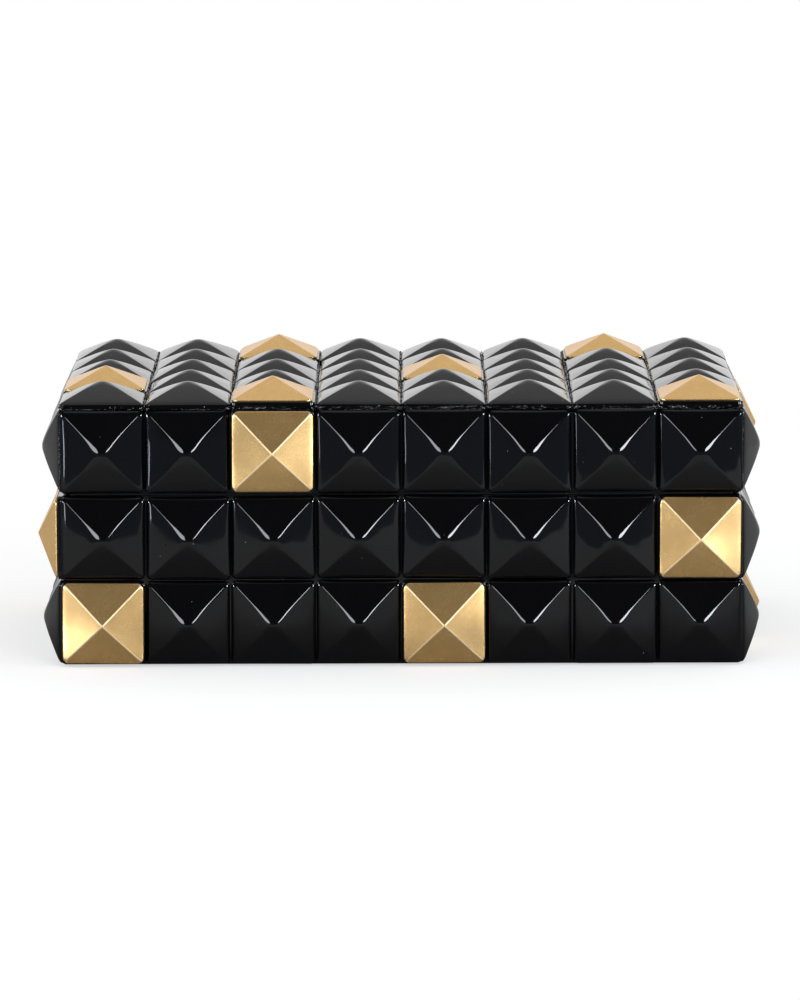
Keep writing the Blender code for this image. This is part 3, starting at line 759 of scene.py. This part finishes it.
def glue_bead(start, end, radius, rng):
    """A ragged bead of glue: a circle carried along a line.

    Its radius and its middle wander: each is random numbers smoothed along the bead by a short bell
    curve, the radius cut off below, so that the bead breaks up into crumbs."""
    start, end = np.array(start), np.array(end)
    length = np.linalg.norm(end - start)
    along, around = int(length / BEAD_STEP), BEAD_POINTS
    bell = np.hanning(6)[1:-1] / np.hanning(6).sum()
    wide_bell = np.hanning(40) / np.hanning(40).sum()
    fine, coarse = rng.normal(0, 1, (3, along)), rng.normal(0, 1, along)
    walk = np.array([np.convolve(row, bell, "same") for row in fine])
    swell = np.convolve(coarse, wide_bell, "same") * 3.0
    lump = radius * np.clip(0.35 + 0.75 * walk[0] + 0.45 * swell, 0.06, 1.25)
    lump[[0, -1]] *= 0.3
    turn = np.linspace(0, 2 * math.pi, around, endpoint=False)
    line = start + (end - start) * np.linspace(0, 1, along)[:, None]
    axis = int(np.argmax(np.abs(end - start)))
    first, second = [index for index in range(3) if index != axis]
    line[:, first] += walk[1] * radius * 0.3
    line[:, second] += walk[2] * radius * 0.5
    points = np.repeat(line[:, None, :], around, 1)
    points[..., first] += lump[:, None] * np.cos(turn)
    points[..., second] += lump[:, None] * np.sin(turn)
    ends = [tuple(reversed(range(around))), tuple(range((along - 1) * around, along * around))]
    return points.reshape(-1, 3), ring_quads(along, around) + ends


def glue_piece(name, beads, rng, material):
    """Several beads as one piece on the lid, with their faces turned outwards."""
    shells = [glue_bead(*bead, rng) for bead in beads]
    piece = make_piece(name, shells, "lid", "black_lacquer", material)
    bm = bmesh.new()
    bm.from_mesh(piece.data)
    bmesh.ops.recalc_face_normals(bm, faces=bm.faces)
    bm.to_mesh(piece.data)
    bm.free()


def build_studs(finishes):
    wall_edges = ("left", "right")
    for number, face in enumerate(("front", "back", "left", "right")):
        base_rng = np.random.default_rng(100 + number)
        lid_rng = np.random.default_rng(200 + number)
        stud_field("base", face, BASE_ROWS, 2, wall_edges, base_rng, finishes["lacquer"])
        stud_field("lid", face, 1, 1, (*wall_edges, "top"), lid_rng, finishes["lacquer"])
    top_rng = np.random.default_rng(300)
    stud_field("lid", "top", DEPTH_ROWS, 1, (*wall_edges, "top", "bottom"), top_rng, finishes["lacquer"])
    gold_rng = np.random.default_rng(400)
    for face, spots in GOLD.items():
        for column, row in spots:
            gold_cap(face, column, row, gold_rng, finishes["gold"])


def build_carcass(finishes):
    for body in ("base", "lid"):
        for side in ("front", "back", "left", "right"):
            softened(f"{body}_{side}_wall", body, finishes["wood"], WOOD_EASE)
    softened("base_bottom_board", "base", finishes["wood"], WOOD_EASE)
    softened("lid_top_board", "lid", finishes["wood"], WOOD_EASE)
    lining_tray("base_lining", "base", 1, finishes["velvet"])
    lining_tray("lid_lining", "lid", -1, finishes["velvet"])
    for depth in ("front", "back"):
        for side in ("left", "right"):
            softened(f"foot_pad_{depth}_{side}", "base", finishes["felt"], FELT_EASE)


def build_hinges(finishes):
    brass = finishes["brass"]
    for side in ("left", "right"):
        for body in ("base", "lid"):
            softened(f"hinge_{body}_leaf_{side}", body, brass, angle=HINGE_CREASE)
            for number in (1, 2):
                screw = f"{body}_screw_{side}_{number}"
                softened(screw, body, brass, angle=HINGE_CREASE)
        softened(f"hinge_pin_{side}", "base", finishes["steel"], angle=HINGE_CREASE)


def build_glue(finishes):
    """The ragged glue in the grooves of the lid's top, round its edge and down its front corners."""
    rng = np.random.default_rng(500)
    level = TOP_PLANE + TOP_TIP - WALL_TIP + WALL_SKIRT - BEAD_SUNK
    long, deep = HALF_WIDTH - BEAD_SHORT, HALF_DEPTH - BEAD_SHORT
    beads = []
    for column in range(1, COLUMNS):
        x = (column - COLUMNS / 2) * PITCH
        beads.append(((x, -deep, level), (x, deep, level), COLUMN_BEAD))
    for row in range(1, DEPTH_ROWS):
        y = (row - DEPTH_ROWS / 2) * PITCH
        beads.append(((-long, y, level), (long, y, level), ROW_BEAD))
    glue_piece("lid_groove_glue", beads, rng, finishes["glue"])
    edge = TOP_PLANE + EDGE_RISE
    front, side = HALF_DEPTH - EDGE_INSET, HALF_WIDTH - EDGE_INSET
    y, z = -front - LOW_OUT, edge - LOW_DROP
    beads = [((-long, y, z), (long, y, z), LOW_BEAD)]
    for column, row in GOLD["top"]:
        if row == 1:
            middle = (column - (COLUMNS + 1) / 2) * PITCH
            start, end = middle - GOLD_BEAD_REACH * PITCH, middle + GOLD_BEAD_REACH * PITCH
            z = edge - GOLD_BEAD_DROP
            beads.append(((start, -front, z), (end, -front, z), GOLD_BEAD))
    y = -HALF_DEPTH + CORNER_INSET
    low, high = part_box("lid_front_panel")[0].z + CORNER_SHORT, TOP_PLANE - CORNER_SHORT
    for sign in (-1, 1):
        beads.append(((-long, sign * front, edge), (long, sign * front, edge), EDGE_BEAD))
        beads.append(((sign * side, -deep, edge), (sign * side, deep, edge), SIDE_BEAD))
        x = sign * (HALF_WIDTH - CORNER_INSET)
        beads.append(((x, y, low), (x, y, high), CORNER_BEAD))
    glue_piece("lid_edge_glue", beads, rng, finishes["glue"])


def build_stage():
    """A pale tabletop that ends a short way off, as the reflections in the photograph show.

    Reflections see it dim, with painted shade close to the box's front and painted light further in
    front, beside the box and behind. The camera sees it melt into white round the box's faint shadow."""
    half_x, front, back = 0.62, -0.325, 0.70
    mesh = bpy.data.meshes.new("floor")
    corners = [(-half_x, front, 0), (half_x, front, 0), (half_x, back, 0), (-half_x, back, 0)]
    mesh.from_pydata(corners, [], [(0, 1, 2, 3)])
    floor = bpy.data.objects.new("floor", mesh)
    bpy.context.scene.collection.objects.link(floor)
    material = bpy.data.materials.new("pale_floor")
    tree = Tree(material)
    shader = tree.nodes["Principled BSDF"]
    place = tree.node("ShaderNodeTexCoord", output="Object")
    x = tree.node("ShaderNodeSeparateXYZ", None, {0: place}, "X")
    y = x.other("Y")
    glossy = tree.node("ShaderNodeLightPath", output="Is Glossy Ray")
    camera = glossy.other("Is Camera Ray")
    # Painted shade and light for reflections: dim close to the box's front, lighter further in front,
    # beside and behind
    in_front = y.ramp(-0.10, -0.20) * (x.ramp(0.10, 0.40) * 0.06 + 0.24)
    beside = y.ramp(-0.08, 0.02) * 0.24
    behind = y.ramp(0.05, 0.45) * 0.12
    dim, pale = 0.15, 0.97
    paint = glossy * (in_front + beside + behind + dim) + (1 - glossy) * pale
    grey = tree.colour(paint, (0, 0, 0), (1, 1, 1))
    tree.plug(shader, {"Base Color": grey, "Roughness": 0.9, "Specular IOR Level": 0.0})
    white = tree.node("ShaderNodeEmission", None, {"Color": (1, 1, 1, 1), "Strength": 1.0}, "Emission")
    near = x.math("ABSOLUTE").ramp(0.30, 0.19) * y.ramp(-0.25, -0.13) * y.ramp(0.40, 0.18)
    shown = Wire(tree, shader.outputs[0])
    mixed = tree.node("ShaderNodeMixShader", None, {0: camera * (1 - near * 0.45), 1: shown, 2: white})
    tree.links.new(mixed.socket, tree.nodes["Material Output"].inputs["Surface"])
    mesh.materials.append(material)


def build_world():
    """White to the camera. Reflections see a white wall behind that dims upwards, a light ceiling, a
    dark room in front, and below the tabletop's edge a dim floor, cool in front."""
    world = bpy.data.worlds.new("studio")
    bpy.context.scene.world = world
    tree = Tree(world)
    backdrop = tree.nodes["Background"]
    way = tree.node("ShaderNodeTexCoord", output="Generated")
    y = tree.node("ShaderNodeSeparateXYZ", None, {0: way}, "Y")
    z = y.other("Z")
    behind = y.ramp(-0.15, 0.40)
    wall = behind * (1 - z.ramp(0.10, 0.85) * 0.41)
    ceiling = (1 - behind) * z.ramp(0.86, 0.97) * 0.56
    under = z.ramp(-0.02, -0.09)
    dark = 0.045
    dim = behind * 0.30 + 0.17
    room = (wall + ceiling + dark) * (1 - under) + under * dim
    tint = under * (1 - behind)
    cool_floor = (0.80, 0.97, 1.18)
    glossy = tree.node("ShaderNodeLightPath", output="Is Glossy Ray")
    camera = glossy.other("Is Camera Ray")
    plain = 0.95
    level = camera + (1 - camera) * (glossy * room + (1 - glossy) * plain)
    colour = tree.colour(tint * glossy, (1, 1, 1), cool_floor)
    tree.plug(backdrop, {"Color": colour, "Strength": level})
    tree.links.new(backdrop.outputs[0], tree.nodes["World Output"].inputs["Surface"])


def add_softbox(name, turn, distance, half_angle, low, high, radiance, colour):
    """A lamp that looks at the front's middle, from a turn to the right and a distance.

    It spans half_angle to both sides and from low to high above the horizon, in degrees. Radiance,
    times its colour, is what a mirror sees in it."""
    target = Vector((0, -HALF_DEPTH, 60 * MM))
    low, high = math.tan(math.radians(low)), math.tan(math.radians(high))
    turn = math.radians(turn)
    middle = Vector((math.sin(turn), -math.cos(turn), (low + high) / 2)) * distance
    light = bpy.data.lights.new(name, "AREA")
    light.shape = "RECTANGLE"
    light.size = 2 * distance * math.tan(math.radians(half_angle))
    light.size_y = (high - low) * distance
    light.energy = radiance * math.pi * light.size * light.size_y
    light.color = colour
    lamp = bpy.data.objects.new(name, light)
    bpy.context.scene.collection.objects.link(lamp)
    lamp.location = target + middle
    lamp.rotation_euler = (math.pi / 2, 0, turn)
    lamp.visible_camera = False


def build_lights():
    """Softboxes in front at both sides, and narrow cool strips further round, one of them low."""
    add_softbox("softbox_left", -32, 4.0, 8.5, 0, 19, 8.6, SOFT)
    add_softbox("softbox_right", 30, 4.0, 5.5, 2, 17, 21.0, SOFT)
    add_softbox("strip_left", -69, 2.5, 1.2, -3.0, 10, 92.0, COOL)
    add_softbox("strip_left_low", -66, 0.9, 1.2, -12, -3.3, 10.0, COOL)
    add_softbox("strip_right", 65, 1.6, 1.2, -1, 14, 126.0, COOL)


def build_camera():
    lens = bpy.data.cameras.new("camera")
    lens.sensor_width = SENSOR
    lens.lens = FOCAL_PIXELS * SENSOR / IMAGE_HEIGHT
    lens.clip_end = 20.0
    camera = bpy.data.objects.new("camera", lens)
    bpy.context.scene.collection.objects.link(camera)
    camera.location = CAMERA_PLACE
    turn = Matrix.Rotation(math.pi / 2 - CAMERA_TILT, 3, "X") @ Matrix.Rotation(CAMERA_ROLL, 3, "Z")
    camera.rotation_euler = turn.to_euler()
    bpy.context.scene.camera = camera


def main():
    finishes = {
        "lacquer": black_lacquer(),
        "glue": glue_lacquer(),
        "gold": satin_gold(),
        "wood": stained_wood(),
        "velvet": black_velvet(),
        "felt": grey_felt(),
        "brass": plain_metal("hinge_brass", (0.60, 0.42, 0.17), (0.78, 0.58, 0.28), 2400.0, 0.16, 0.34),
        "steel": plain_metal("pin_steel", (0.50, 0.50, 0.49), (0.62, 0.62, 0.61), 2400.0, 0.2, 0.4),
    }
    build_studs(finishes)
    build_carcass(finishes)
    build_hinges(finishes)
    build_glue(finishes)
    build_stage()
    build_world()
    build_lights()
    build_camera()


main()
bpy.context.scene.view_settings.view_transform = "Standard"
